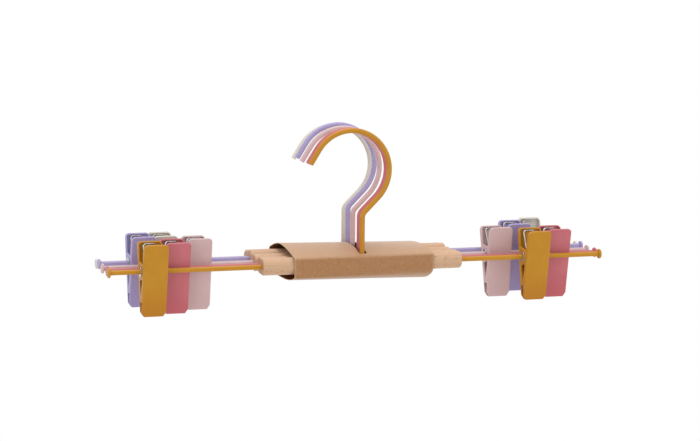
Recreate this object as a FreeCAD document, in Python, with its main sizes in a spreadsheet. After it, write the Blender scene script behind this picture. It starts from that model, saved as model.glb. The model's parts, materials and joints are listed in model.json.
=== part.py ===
"""Banded set of five skirt hangers.

Five beech dowels lie side by side in a card sleeve. Each dowel carries a bent wire hook, two painted
rods with nail heads, and two sprung clips that slide along the rods. Lengths are in millimetres and
angles in degrees. X runs along the rods, Y from front to back and Z up, and the origin is the inside
of the hooks' crown, where they hang on a rail.
"""
import FreeCAD, Part
import math
import os

import Sketcher
from FreeCAD import Placement, Rotation, Vector

COLOURS = ("ochre", "rose", "blush", "lilac", "chalk")
MIDDLE = len(COLOURS) // 2

SIZES = {
    # dowels
    "dowel_dia": 13.3,
    "dowel_length": 161.5,
    "dowel_chamfer": 0.7,
    "dowel_gap": 0.3,
    "counterbore_dia": 7.4,
    "counterbore_depth": 2.4,
    "stem_play": 0.05,
    # rods with nail heads
    "hanger_length": 402,
    "rod_dia": 3.8,
    "rod_grip": 30,
    "rod_fit": 0.02,
    "head_dia": 7.8,
    "head_thick": 1.9,
    "head_round": 0.8,
    # hooks
    "hook_wire": 4,
    "hook_radius": 30.8,
    "hook_set": 9.2,
    "hook_rise": 72.5,
    "hook_bend": 7,
    "hook_lean_angle": 45,
    "hook_sweep_angle": 148,
    "hook_tail": 13,
    "hook_tip_round": 0.5,
    "peen_dia": 6.4,
    "peen_thick": 1.2,
    "peen_play": 0.1,
    # how far each hanger has slipped along the sleeve
    "ochre_shift": -1.8,
    "rose_shift": 0.3,
    "blush_shift": -0.6,
    "lilac_shift": -0.2,
    "chalk_shift": 0.9,
    # how far each hanger lies above or below the middle of the sleeve
    "ochre_rise": -0.3,
    "rose_rise": -1.1,
    "blush_rise": -0.9,
    "lilac_rise": 0.5,
    "chalk_rise": -1.3,
    # clip jaws
    "clip_width": 19,
    "sheet_thick": 0.9,
    "neighbour_gap": 2.7,
    "jaw_tilt_angle": 10.5,
    "handle_reach": 21.5,
    "tip_reach": 34.4,
    "flange_depth": 4.2,
    "rim_depth": 2.4,
    "notch_lip": 1.6,
    "meet_gap": 0.3,
    "ear_radius": 6.2,
    "ear_gap": 0.2,
    "notch_gap": 0.4,
    "corner_radius": 3,
    "fold_radius": 0.7,
    "tip_cut_width": 2.2,
    "tip_cut_height": 3.4,
    # grip pads
    "pad_width": 15,
    "pad_gap": 0.3,
    "glue_gap": 0.05,
    "rib_depth": 0.6,
    # eyelets
    "eyelet_wall": 0.8,
    "eyelet_play": 0.1,
    "pivot_play": 0.06,
    "rim_dia": 8,
    "rim_thick": 0.7,
    "rim_gap": 0.1,
    "rim_round": 0.3,
    # springs
    "spring_wire": 1.5,
    "spring_play": 0.4,
    "spring_pitch": 2.1,
    "spring_end": 9,
    "spring_bend": 2.2,
    "spring_drop": 2.1,
    "spring_rest": 0.1,
    # places of the clips along the rods, in columns side by side
    "column_gap": 1.5,
    "ochre_right_slip": 0.9,
    "rose_right_slip": 3.2,
    # how far a clip leans about its rod, the handles to the front
    "blush_left_turn_angle": -2,
    "blush_right_turn_angle": -4,
    "chalk_right_turn_angle": 15,
    # card sleeve
    "sleeve_length": 113.4,
    "sleeve_shift": -1.8,
    "card_thick": 0.5,
    "sleeve_play": 0.6,
    "sleeve_rise": 3.9,
    "sleeve_droop": 1.85,
    "sleeve_sag": 5.4,
    "sleeve_heel": 2.2,
    "sleeve_brow": 1.5,
    "sleeve_chin": 6,
    "sleeve_back": 3,
    "slot_play": 0.5,
    "slot_round": 2,
    # how far every cut runs past what it cuts
    "overrun": 5,
}

# shares of the jaw's reach below the pivot where its side outline turns
WAIST_SHARE = 0.26
BRIDGE_SHARE = 0.55
NOTCH_TOP_SHARE = 0.68
NOTCH_FOOT_SHARE = 0.94
# shares of the jaw's reach above the pivot
NECK_SHARE = 0.37
SHOULDER_SHARE = 0.75
# one rib of a grip pad, as shares of the rib's height
RIB_SHARES = (0.2, 0.35, 0.65, 0.8)
RIBS = 5
SPRING_TURNS = 4
# step between the points on which the spring's gap to itself is measured, as a share of its wire
SAMPLE_SHARE = 0.27
# a rim's edge is known by a radius above this share of the piece's largest
RIM_SHARE = 0.99
HALF_TURN = 180
FULL_TURN = 360
ANGLE_TOLERANCE = 1e-6
PLACE_TOLERANCE = 1e-5
ALONG_X = Vector(1, 0, 0)
ALONG_Z = Vector(0, 0, 1)

# column of each clip, counted from the nail heads inwards
COLUMNS = {
    ("ochre", "left"): 0,
    ("rose", "left"): 1,
    ("blush", "left"): 2,
    ("lilac", "left"): 0,
    ("chalk", "left"): 1,
    ("ochre", "right"): 1,
    ("rose", "right"): 0,
    ("blush", "right"): 2,
    ("lilac", "right"): 1,
    ("chalk", "right"): 0,
}
SIDES = {"left": -1, "right": 1}
# of the rod that the columns leave free, the share between them and the nail heads
FREE_SHARES = {"left": 0.37, "right": 0.4755}

doc = FreeCAD.newDocument("skirt_hangers")
sheet = doc.addObject("Spreadsheet::Sheet", "sizes")
for row, (alias, number) in enumerate(SIZES.items(), start=1):
    sheet.set(f"A{row}", alias)
    sheet.set(f"B{row}", str(number))
    sheet.setAlias(f"B{row}", alias)
doc.recompute()

# expressions that several pieces share
PITCH = "(sizes.dowel_dia + sizes.dowel_gap)"
AXIS_UP = "-(sizes.hook_rise + sizes.hook_radius - sizes.hook_wire / 2)"
DOWEL_RADIUS = "sizes.dowel_dia / 2"
ROD_RADIUS = "sizes.rod_dia / 2"
EYELET_BORE = f"({ROD_RADIUS} + sizes.eyelet_play)"
EYELET_RADIUS = f"({EYELET_BORE} + sizes.eyelet_wall)"
HANDLE = "sizes.handle_reach"
TIP = "-sizes.tip_reach"
WAIST = f"{TIP} * {WAIST_SHARE}"
BRIDGE = f"{TIP} * {BRIDGE_SHARE}"
NOTCH_TOP = f"{TIP} * {NOTCH_TOP_SHARE}"
NOTCH_FOOT = f"{TIP} * {NOTCH_FOOT_SHARE}"
NECK = f"{HANDLE} * {NECK_SHARE}"
SHOULDER = f"{HANDLE} * {SHOULDER_SHARE}"
MEET = "sizes.meet_gap / 2"
# from the rod's axis to the outside of a jaw, measured level with the rod
JAW_HALF = f"({PITCH} - {ROD_RADIUS} - sizes.neighbour_gap)"
STEM_FOOT = f"(-{DOWEL_RADIUS} + sizes.counterbore_depth - sizes.peen_play - sizes.peen_thick)"


def value(expression):
    """Number that an expression over the sheet comes to."""
    return float(sheet.evalExpression(expression))


def outer(up):
    """Distance from the clip's middle plane to the outside of a jaw at a height."""
    return f"({JAW_HALF} + ({up}) * tan(sizes.jaw_tilt_angle))"


def inner(up):
    """The same to the inside of the jaw's plate."""
    return f"({outer(up)} - sizes.sheet_thick / cos(sizes.jaw_tilt_angle))"


def new_body(name):
    return doc.addObject("PartDesign::Body", name)


def new_sketch(body, name, plane):
    """Empty sketch on one of the body's own origin planes."""
    sketch = body.newObject("Sketcher::SketchObject", name)
    support = next(item for item in body.Origin.OriginFeatures if item.Role == plane)
    sketch.AttachmentSupport = (support, [""])
    sketch.MapMode = "FlatFace"
    return sketch


def bind(sketch, name, constraint, expression):
    """Add a dimension to a sketch and tie it to the sheet."""
    index = sketch.addConstraint(constraint)
    sketch.renameConstraint(index, name)
    sketch.setExpression(f"Constraints.{name}", expression)


def outline(body, name, plane, points):
    """Closed sketch of straight lines through points, each a pair of expressions."""
    sketch = new_sketch(body, name, plane)
    places = [Vector(value(across), value(up), 0) for across, up in points]
    count = len(places)
    for index, place in enumerate(places):
        sketch.addGeometry(Part.LineSegment(place, places[(index + 1) % count]), False)
    for index in range(count):
        sketch.addConstraint(Sketcher.Constraint("Coincident", index, 2, (index + 1) % count, 1))
    for index, (across, up) in enumerate(points):
        place = places[index]
        bind(sketch, f"across{index}", Sketcher.Constraint("DistanceX", index, 1, place.x), across)
        bind(sketch, f"up{index}", Sketcher.Constraint("DistanceY", index, 1, place.y), up)
    return sketch


def disc(body, name, plane, radius):
    """Sketch of one circle round the plane's origin."""
    sketch = new_sketch(body, name, plane)
    sketch.addGeometry(Part.Circle(Vector(), ALONG_Z, value(radius)), False)
    sketch.addConstraint(Sketcher.Constraint("Coincident", 0, 3, -1, 1))
    bind(sketch, "radius", Sketcher.Constraint("Radius", 0, value(radius)), radius)
    return sketch


def pad(body, name, sketch, length, side="Symmetric"):
    feature = body.newObject("PartDesign::Pad", name)
    feature.Profile = sketch
    feature.SideType = side
    feature.setExpression("Length", length)
    doc.recompute()
    return feature


def pocket(body, name, sketch, length, side="Symmetric", reverse=False):
    """Cut a sketch out of the body; the cut has to take material away."""
    before = body.Shape.Volume
    feature = body.newObject("PartDesign::Pocket", name)
    feature.Profile = sketch
    feature.SideType = side
    feature.Reversed = reverse
    feature.setExpression("Length", length)
    doc.recompute()
    if not body.Shape.Volume < before:
        raise RuntimeError(f"{name} cuts nothing")
    return feature


def turned(body, name, points):
    """Solid of revolution about X from an outline of (along, radius) pairs."""
    sketch = outline(body, f"{name}_profile", "XZ_Plane", points)
    feature = body.newObject("PartDesign::Revolution", name)
    feature.Profile = sketch
    feature.ReferenceAxis = (sketch, ["H_Axis"])
    feature.Angle = FULL_TURN
    doc.recompute()
    return feature


def fillet(body, name, radius, wanted):
    """Round the edges of the body for which wanted(edge) is true."""
    base = body.Tip
    edges = [f"Edge{number}" for number, edge in enumerate(base.Shape.Edges, start=1) if wanted(edge)]
    if not edges:
        raise RuntimeError(f"{name} finds no edge")
    feature = body.newObject("PartDesign::Fillet", name)
    feature.Base = (base, edges)
    feature.setExpression("Radius", radius)
    doc.recompute()
    return feature


def rim_of(radius):
    """Test for the round edges on a turned piece's largest radius."""
    return lambda edge: isinstance(edge.Curve, Part.Circle) and edge.Curve.Radius > radius * RIM_SHARE


def make_dowel():
    """Turned dowel: blind bores in its ends for the rods, a cross hole and counterbore for the hook."""
    body = new_body("dowel")
    end = "sizes.dowel_length / 2"
    bore = f"({ROD_RADIUS} + sizes.rod_fit)"
    bevel = "sizes.dowel_chamfer"
    floor = f"({end} - sizes.rod_grip)"
    half = [
        (floor, "0"),
        (floor, bore),
        (end, bore),
        (end, f"{DOWEL_RADIUS} - {bevel}"),
        (f"{end} - {bevel}", DOWEL_RADIUS),
    ]
    other = [(f"-({along})", radius) for along, radius in reversed(half)]
    turned(body, "dowel_turning", half + other)
    hole = disc(body, "stem_hole_sketch", "XY_Plane", "sizes.hook_wire / 2 + sizes.stem_play")
    pocket(body, "stem_hole", hole, "sizes.dowel_dia + sizes.overrun")
    bore_sketch = disc(body, "counterbore_sketch", "XY_Plane", "sizes.counterbore_dia / 2")
    bore_sketch.setExpression("AttachmentOffset.Base.z", f"-{DOWEL_RADIUS} + sizes.counterbore_depth")
    pocket(body, "counterbore", bore_sketch, "sizes.counterbore_depth + sizes.overrun", "One side")
    return body


def make_rod_pair():
    """Right rod with its nail head, and the left one as the same rod turned round."""
    body = new_body("rod")
    start = "(sizes.dowel_length / 2 - sizes.rod_grip)"
    finish = "sizes.hanger_length / 2"
    neck = f"({finish} - sizes.head_thick)"
    head = "sizes.head_dia / 2"
    turned(body, "rod_turning", [
        (start, "0"),
        (start, ROD_RADIUS),
        (neck, ROD_RADIUS),
        (neck, head),
        (finish, head),
        (finish, "0"),
    ])
    fillet(body, "head_rounding", "sizes.head_round", rim_of(value(head)))
    left = doc.addObject("App::Link", "left_rod")
    left.LinkedObject = body
    left.Placement = Placement(Vector(), Rotation(ALONG_Z, HALF_TURN))
    pair = doc.addObject("Part::Compound", "rod_pair")
    pair.Links = [body, left]
    return pair


def make_hook():
    """Bent wire hook: stem, leaning run, big arc and straight tail, with a peened foot."""
    body = new_body("hook")
    radius = value("sizes.hook_radius")
    bend = value("sizes.hook_bend")
    lean = math.radians(value("sizes.hook_lean_angle"))
    sweep = math.radians(value("sizes.hook_sweep_angle"))
    centre = Vector(-value("sizes.hook_set"), value("sizes.hook_rise"), 0)
    arc_start = centre + Vector(math.sin(lean), -math.cos(lean), 0) * radius
    arc_finish = centre + Vector(math.cos(sweep), math.sin(sweep), 0) * radius
    tail = Vector(-math.sin(sweep), math.cos(sweep), 0) * value("sizes.hook_tail")
    kink = Vector(0, arc_start.y - arc_start.x / math.tan(lean), 0)
    bend_length = bend * math.tan(lean / 2)
    stem_top = kink - Vector(0, bend_length, 0)
    run_start = kink + Vector(math.sin(lean), math.cos(lean), 0) * bend_length
    foot = Vector(0, value(STEM_FOOT), 0)
    bend_circle = Part.Circle(stem_top + Vector(bend, 0, 0), ALONG_Z, bend)
    big_circle = Part.Circle(centre, ALONG_Z, radius)
    spine = new_sketch(body, "hook_line", "XZ_Plane")
    spine.addGeometry(Part.LineSegment(foot, stem_top), False)
    spine.addGeometry(Part.ArcOfCircle(bend_circle, math.pi - lean, math.pi), False)
    spine.addGeometry(Part.LineSegment(run_start, arc_start), False)
    spine.addGeometry(Part.ArcOfCircle(big_circle, lean - math.pi / 2, sweep), False)
    spine.addGeometry(Part.LineSegment(arc_finish, arc_finish + tail), False)
    joins = ((0, 2, 1, 2), (1, 1, 2, 1), (2, 2, 3, 1), (3, 2, 4, 1))
    for join in joins:
        spine.addConstraint(Sketcher.Constraint("Tangent", *join))
    spine.addConstraint(Sketcher.Constraint("Vertical", 0))
    bind(spine, "foot_across", Sketcher.Constraint("DistanceX", 0, 1, 0.0), "0")
    bind(spine, "foot_up", Sketcher.Constraint("DistanceY", 0, 1, foot.y), STEM_FOOT)
    bind(spine, "bend", Sketcher.Constraint("Radius", 1, bend), "sizes.hook_bend")
    bind(spine, "centre_across", Sketcher.Constraint("DistanceX", 3, 3, centre.x), "-sizes.hook_set")
    bind(spine, "centre_up", Sketcher.Constraint("DistanceY", 3, 3, centre.y), "sizes.hook_rise")
    bind(spine, "radius", Sketcher.Constraint("Radius", 3, radius), "sizes.hook_radius")
    bind(spine, "lean", Sketcher.Constraint("Angle", 2, math.pi / 2 - lean), "90 - sizes.hook_lean_angle")
    bind(spine, "tail", Sketcher.Constraint("Distance", 4, tail.Length), "sizes.hook_tail")
    tail_turn = "sizes.hook_sweep_angle + 90"
    bind(spine, "sweep", Sketcher.Constraint("Angle", 4, sweep + math.pi / 2), tail_turn)
    section = disc(body, "hook_section", "XY_Plane", "sizes.hook_wire / 2")
    section.setExpression("AttachmentOffset.Base.z", STEM_FOOT)
    pipe = body.newObject("PartDesign::AdditivePipe", "hook_wire_run")
    pipe.Profile = section
    pipe.Spine = (spine, [])
    doc.recompute()
    peen = disc(body, "peen_sketch", "XY_Plane", "sizes.peen_dia / 2")
    peen.setExpression("AttachmentOffset.Base.z", STEM_FOOT)
    pad(body, "peen", peen, "sizes.peen_thick", "One side")
    end = arc_finish + tail
    tip = Vector(end.x, 0, end.y)
    fillet(body, "tip_rounding", "sizes.hook_tip_round",
           lambda edge: edge.CenterOfMass.isEqual(tip, PLACE_TOLERANCE))
    return body


def make_jaw(name, side, ear_width, notched):
    """Pressed jaw: a tilted plate, folded flanges, and two ears round the pivot.

    side is 1 for the rear jaw and -1 for the front one. The flanges of the two jaws meet below the
    pivot and leave a notch at the grip pads. The front jaw's flanges are notched to clear the rear ears.
    """
    def at(across, up):
        return f"{side} * ({across})", up

    body = new_body(name)
    thick = "sizes.sheet_thick"
    pan = outline(body, f"{name}_pan_sketch", "YZ_Plane", [
        at(outer(HANDLE), HANDLE),
        at(outer(TIP), TIP),
        at(MEET, TIP),
        at(MEET, NOTCH_FOOT),
        at(f"{outer(NOTCH_FOOT)} - sizes.notch_lip", NOTCH_FOOT),
        at(f"{outer(NOTCH_TOP)} - sizes.notch_lip", NOTCH_TOP),
        at(MEET, NOTCH_TOP),
        at(MEET, BRIDGE),
        at(f"{outer(WAIST)} - sizes.flange_depth", WAIST),
        at(f"{outer(HANDLE)} - sizes.flange_depth", HANDLE),
    ])
    pad(body, f"{name}_pan", pan, "sizes.clip_width")
    inside = outline(body, f"{name}_inside_sketch", "YZ_Plane", [
        at(inner(f"{HANDLE} - {thick}"), f"{HANDLE} - {thick}"),
        at(inner(f"{TIP} + {thick}"), f"{TIP} + {thick}"),
        at("-(sizes.ear_radius + sizes.overrun)", f"{TIP} + {thick}"),
        at("-(sizes.ear_radius + sizes.overrun)", f"{HANDLE} - {thick}"),
    ])
    pocket(body, f"{name}_inside", inside, f"sizes.clip_width - 2 * {thick}")
    inside_top = value(f"{HANDLE} - {thick}")
    inside_corner = value(f"sizes.clip_width / 2 - {thick}")
    fillet(body, f"{name}_inside_corners", f"sizes.corner_radius - {thick}",
           lambda edge: on_corner(edge, inside_corner, inside_top))
    top = value(HANDLE)
    corner = value("sizes.clip_width / 2")
    fillet(body, f"{name}_corners", "sizes.corner_radius",
           lambda edge: on_corner(edge, corner, top))
    taper = outline(body, f"{name}_taper_sketch", "YZ_Plane", [
        at(f"{outer(SHOULDER)} - sizes.flange_depth", SHOULDER),
        at(f"{outer(HANDLE)} - sizes.rim_depth", HANDLE),
        at(f"{outer(HANDLE)} - sizes.rim_depth", f"{HANDLE} + sizes.overrun"),
        at("0", f"{HANDLE} + sizes.overrun"),
        at("0", SHOULDER),
    ])
    pocket(body, f"{name}_taper", taper, "sizes.clip_width + sizes.overrun")
    if notched:
        notch = disc(body, f"{name}_notch_sketch", "YZ_Plane", "sizes.ear_radius + sizes.notch_gap")
        pocket(body, f"{name}_notch", notch, "sizes.clip_width + sizes.overrun")
    neck = outline(body, f"{name}_neck_sketch", "YZ_Plane", [
        at("0", "sizes.ear_radius"),
        at(f"{outer(NECK)} - {thick} / 2", NECK),
        at(f"{outer(WAIST)} - {thick} / 2", WAIST),
        at("0", "-sizes.ear_radius"),
    ])
    pad(body, f"{name}_neck", neck, ear_width)
    ear = disc(body, f"{name}_ear_sketch", "YZ_Plane", "sizes.ear_radius")
    pad(body, f"{name}_ear", ear, ear_width)
    throat = outline(body, f"{name}_throat_sketch", "YZ_Plane", [
        at(inner(NECK), NECK),
        at(inner(WAIST), WAIST),
        at("-(sizes.ear_radius + sizes.overrun)", WAIST),
        at("-(sizes.ear_radius + sizes.overrun)", NECK),
    ])
    pocket(body, f"{name}_throat", throat, f"{ear_width} - 2 * {thick}")
    pivot = disc(body, f"{name}_pivot_sketch", "YZ_Plane", f"{EYELET_RADIUS} + sizes.pivot_play")
    pocket(body, f"{name}_pivot", pivot, "sizes.clip_width + sizes.overrun")
    cut_tip_corners(body, name)
    half = value(JAW_HALF)
    slope = value("tan(sizes.jaw_tilt_angle)")

    def on_plate(edge):
        misses = [abs(side * vertex.Y - half - slope * vertex.Z) for vertex in edge.Vertexes]
        return max(misses) < PLACE_TOLERANCE

    fillet(body, f"{name}_folds", "sizes.fold_radius", on_plate)
    return body


def on_corner(edge, across, up):
    """Whether an edge runs from front to back at a corner of the jaw's top."""
    ends = [vertex.Point for vertex in edge.Vertexes]
    if len(ends) < 2 or abs(ends[0].x - ends[1].x) > PLACE_TOLERANCE:
        return False
    misses = [max(abs(abs(end.x) - across), abs(end.z - up)) for end in ends]
    return max(misses) < PLACE_TOLERANCE


def cut_tip_corners(body, name):
    """Slanting cuts across both bottom corners of a jaw."""
    edge = "sizes.clip_width / 2"
    for label, hand in (("left", -1), ("right", 1)):
        sketch = outline(body, f"{name}_{label}_cut_sketch", "XZ_Plane", [
            (f"{hand} * ({edge} - sizes.tip_cut_width)", TIP),
            (f"{hand} * {edge}", f"{TIP} + sizes.tip_cut_height"),
            (f"{hand} * ({edge} + sizes.overrun)", f"{TIP} + sizes.tip_cut_height"),
            (f"{hand} * ({edge} + sizes.overrun)", f"{TIP} - sizes.overrun"),
            (f"{hand} * ({edge} - sizes.tip_cut_width)", f"{TIP} - sizes.overrun"),
        ])
        pocket(body, f"{name}_{label}_cut", sketch, f"4 * {JAW_HALF}")


def make_grip_pad(name, side):
    """Ribbed pad on the inside of a jaw's tip, with flat-topped ribs across the grip."""
    body = new_body(name)
    foot = f"({NOTCH_FOOT} + sizes.pad_gap)"
    height = f"({NOTCH_TOP} - sizes.pad_gap - {foot})"

    def at(across, share):
        return f"{side} * ({across})", f"{foot} + {height} * {share}"

    def back(share):
        return at(f"{inner(f'{foot} + {height} * {share}')} - sizes.glue_gap", share)

    valley = f"{MEET} + sizes.rib_depth"
    points = [back(1), back(0), at(valley, 0)]
    for rib in range(RIBS):
        heights = [(rib + share) / RIBS for share in RIB_SHARES]
        points += [at(depth, share) for depth, share in zip((valley, MEET, MEET, valley), heights)]
    points.append(at(valley, 1))
    section = outline(body, f"{name}_sketch", "YZ_Plane", points)
    pad(body, f"{name}_block", section, "sizes.pad_width")
    return body


def make_eyelet():
    """Hollow rivet with a rolled rim at each end; the rod runs through its bore."""
    body = new_body("eyelet")
    shoulder = "(sizes.clip_width / 2 + sizes.rim_gap)"
    face = f"({shoulder} + sizes.rim_thick)"
    rim = "sizes.rim_dia / 2"
    half = [(shoulder, EYELET_RADIUS), (shoulder, rim), (face, rim), (face, EYELET_BORE)]
    other = [(f"-{along}", radius) for along, radius in reversed(half)]
    turned(body, "eyelet_turning", half + other)
    fillet(body, "rim_rounding", "sizes.rim_round", rim_of(value(rim)))
    return body


def biarc(start, start_way, finish, finish_way):
    """Two arcs that leave start along start_way, meet smoothly and arrive at finish along finish_way."""
    chord = finish - start
    ways = start_way + finish_way
    square = 2 * (1 - start_way.dot(finish_way))
    reach = (-chord.dot(ways) + math.sqrt(chord.dot(ways) ** 2 + square * chord.dot(chord))) / square
    first = start + start_way * reach
    last = finish - finish_way * reach
    joint = (first + last) * 0.5
    return [arc_between(start, first, joint), arc_between(joint, last, finish)]


def arc_between(start, corner, finish):
    """Arc from start to finish whose end tangents cross at corner, at the same distance from both."""
    middle = (start + finish) * 0.5
    half_chord = (finish - start).Length / 2
    rise = (corner - middle).Length
    side = math.hypot(half_chord, rise)
    sagitta = half_chord * (side - half_chord) / rise
    return Part.Arc(start, middle + (corner - middle) * (sagitta / rise), finish).toShape()


def rounded_corner(before, corner, after, radius):
    """Arc of a given radius that rounds a corner, and its two ends."""
    way_in = (corner - before).normalize()
    way_out = (after - corner).normalize()
    length = radius * math.tan(way_in.getAngle(way_out) / 2)
    start = corner - way_in * length
    finish = corner + way_out * length
    return start, arc_between(start, corner, finish), finish


def make_spring():
    """Torsion spring: a coil on the eyelet and a leg up each jaw, bent level near the handle's top."""
    wire = value("sizes.spring_wire")
    coil = value(f"{EYELET_RADIUS} + sizes.spring_play + sizes.spring_wire / 2")
    step = value("sizes.spring_pitch") / math.tau
    rest_up = f"({HANDLE} - sizes.spring_drop)"
    lift = "(sizes.sheet_thick + sizes.spring_rest + sizes.spring_wire / 2) / cos(sizes.jaw_tilt_angle)"
    rest = Vector(0, value(f"{outer(rest_up)} - {lift}"), value(rest_up))
    leave = math.atan2(rest.z, rest.y) - math.acos(coil / rest.Length)
    enter = math.pi - leave
    leave += SPRING_TURNS * math.tau
    half_way = (enter + leave) / 2

    def place(turn):
        return Vector(-step * (turn - half_way), coil * math.cos(turn), coil * math.sin(turn))

    def way(turn):
        return Vector(-step, -coil * math.sin(turn), coil * math.cos(turn)).normalize()

    leg = math.sqrt(rest.Length ** 2 - coil ** 2) * math.hypot(1, step / coil)
    rear_corner = place(leave) + way(leave) * leg
    front_corner = place(enter) - way(enter) * leg
    end = Vector(value("sizes.spring_end"), 0, 0)
    bend = value("sizes.spring_bend")
    front_tip = front_corner - end
    rear_tip = rear_corner + end
    front_start, front_bend, front_finish = rounded_corner(front_tip, front_corner, place(enter), bend)
    rear_start, rear_bend, rear_finish = rounded_corner(place(leave), rear_corner, rear_tip, bend)
    edges = [Part.makeLine(front_tip, front_start), front_bend]
    edges.append(Part.makeLine(front_finish, place(enter)))
    quarters = math.ceil((leave - enter) / (math.pi / 2))
    turns = [enter + (leave - enter) * index / quarters for index in range(quarters + 1)]
    for first, last in zip(turns, turns[1:]):
        edges += biarc(place(first), way(first), place(last), way(last))
    edges += [Part.makeLine(place(leave), rear_start), rear_bend, Part.makeLine(rear_finish, rear_tip)]
    line = Part.Wire(edges)
    section = Part.Wire(Part.makeCircle(wire / 2, front_tip, front_start - front_tip))
    tube = line.makePipeShell([section], True, False)
    expected = math.pi * wire ** 2 / 4 * line.Length
    print(f"spring volume {tube.Volume:.3f}, section times length {expected:.3f}")
    print(f"spring gap to itself {gap_to_itself(line, wire):.3f}")
    feature = doc.addObject("Part::Feature", "spring")
    feature.Shape = tube
    return feature


def gap_to_itself(line, wire):
    """Least gap between stretches of a wound wire, measured on points along its centre line."""
    spacing = wire * SAMPLE_SHARE
    points = line.discretize(Distance=spacing)
    apart = math.ceil(math.pi * wire / spacing)
    pairs = ((here, there) for index, here in enumerate(points) for there in points[index + apart:])
    return min((there - here).Length for here, there in pairs) - wire


def arched(body, name, corners, crown, belly):
    """Closed sketch on YZ with upright sides and arcs over the top and under the foot.

    corners are the back top, front top, front foot and back foot, as pairs of expressions. crown and
    belly are the heights of the arcs' middles.
    """
    sketch = new_sketch(body, name, "YZ_Plane")
    places = [Vector(value(across), value(up), 0) for across, up in corners]
    back_top, front_top, front_foot, back_foot = places
    sketch.addGeometry(Part.Arc(back_top, Vector(0, value(crown), 0), front_top), False)
    sketch.addGeometry(Part.LineSegment(front_top, front_foot), False)
    sketch.addGeometry(Part.Arc(front_foot, Vector(0, value(belly), 0), back_foot), False)
    sketch.addGeometry(Part.LineSegment(back_foot, back_top), False)
    count = len(corners)
    for index in range(count):
        sketch.addConstraint(Sketcher.Constraint("Coincident", index, 2, (index + 1) % count, 1))
    for index, (across, up) in enumerate(corners):
        bind(sketch, f"across{index}", Sketcher.Constraint("DistanceX", index, 1, value(across)), across)
        bind(sketch, f"up{index}", Sketcher.Constraint("DistanceY", index, 1, value(up)), up)
    half_chord = corners[0][0]
    rises = ((0, "crown", f"({crown} - {corners[0][1]})"), (2, "belly", f"({corners[2][1]} - {belly})"))
    for index, label, rise in rises:
        radius = f"({half_chord} ^ 2 + {rise} ^ 2) / (2 * {rise})"
        bind(sketch, label, Sketcher.Constraint("Radius", index, value(radius)), radius)
    return sketch


def rounded_slot(body, name, edges, radius):
    """Sketch on XY of a rectangle with rounded corners; edges are its front, right, back and left."""
    sketch = new_sketch(body, name, "XY_Plane")
    front, right, back, left = [value(edge) for edge in edges]
    corner = value(radius)
    low, high = front + corner, back - corner
    near, far = left + corner, right - corner
    sketch.addGeometry(Part.LineSegment(Vector(near, front, 0), Vector(far, front, 0)), False)
    sketch.addGeometry(Part.LineSegment(Vector(right, low, 0), Vector(right, high, 0)), False)
    sketch.addGeometry(Part.LineSegment(Vector(far, back, 0), Vector(near, back, 0)), False)
    sketch.addGeometry(Part.LineSegment(Vector(left, high, 0), Vector(left, low, 0)), False)
    quarter = math.pi / 2
    for index, (across, up) in enumerate(((far, low), (far, high), (near, high), (near, low))):
        circle = Part.Circle(Vector(across, up, 0), ALONG_Z, corner)
        sketch.addGeometry(Part.ArcOfCircle(circle, (index - 1) * quarter, index * quarter), False)
    count = len(edges)
    ways = (("Horizontal", "DistanceY"), ("Vertical", "DistanceX")) * 2
    for index, (level, measure) in enumerate(ways):
        arc = count + index
        sketch.addConstraint(Sketcher.Constraint("Tangent", index, 2, arc, 1))
        sketch.addConstraint(Sketcher.Constraint("Tangent", arc, 2, (index + 1) % count, 1))
        sketch.addConstraint(Sketcher.Constraint(level, index))
        edge = edges[index]
        bind(sketch, f"edge{index}", Sketcher.Constraint(measure, index, 1, value(edge)), edge)
        bind(sketch, f"corner{index}", Sketcher.Constraint("Radius", arc, corner), radius)
    return sketch


def make_sleeve():
    """Folded card sleeve: a tube round the dowels, arched above and below, slotted for the hook stems."""
    body = new_body("sleeve")
    card = "sizes.card_thick"
    depth = f"({MIDDLE} * {PITCH} + {DOWEL_RADIUS} + sizes.sleeve_play + {card})"
    front = f"-{depth}"
    top = f"({DOWEL_RADIUS} - sizes.sleeve_droop + {card})"
    foot = f"(-{DOWEL_RADIUS} - sizes.sleeve_heel - {card})"
    crown = f"({DOWEL_RADIUS} + sizes.sleeve_rise + {card})"
    belly = f"(-{DOWEL_RADIUS} - sizes.sleeve_sag - {card})"
    corners = (
        ("back_top", depth, top, "sizes.sleeve_back"),
        ("brow", front, top, "sizes.sleeve_brow"),
        ("chin", front, foot, "sizes.sleeve_chin"),
        ("back_foot", depth, foot, "sizes.sleeve_back"),
    )
    places = [(across, up) for _, across, up, _ in corners]
    section = arched(body, "sleeve_sketch", places, crown, belly)
    pad(body, "sleeve_block", section, "sizes.sleeve_length")
    for label, across, up, radius in corners:
        corner = Vector(0, value(across), value(up))
        fillet(body, f"sleeve_{label}", radius,
               lambda edge: edge.CenterOfMass.isEqual(corner, PLACE_TOLERANCE))
    block = body.Tip
    open_ends = [f"Face{number}" for number, face in enumerate(block.Shape.Faces, start=1)
                 if abs(abs(face.normalAt(0, 0).x) - 1) < ANGLE_TOLERANCE]
    wall = body.newObject("PartDesign::Thickness", "sleeve_wall")
    wall.Base = (block, open_ends)
    wall.Reversed = True
    wall.setExpression("Value", "sizes.card_thick")
    doc.recompute()
    stem = "(sizes.hook_wire / 2 + sizes.slot_play)"
    shifts = "; ".join(f"sizes.{colour}_shift" for colour in COLOURS)
    left = f"min({shifts}) - {stem} - sizes.sleeve_shift"
    right = f"max({shifts}) + {stem} - sizes.sleeve_shift"
    reach = f"({MIDDLE} * {PITCH} + {stem})"
    slot = rounded_slot(body, "slot_sketch", (f"-{reach}", right, reach, left), "sizes.slot_round")
    pocket(body, "slot", slot, f"{crown} + sizes.overrun", "One side", reverse=True)
    return body


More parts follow.
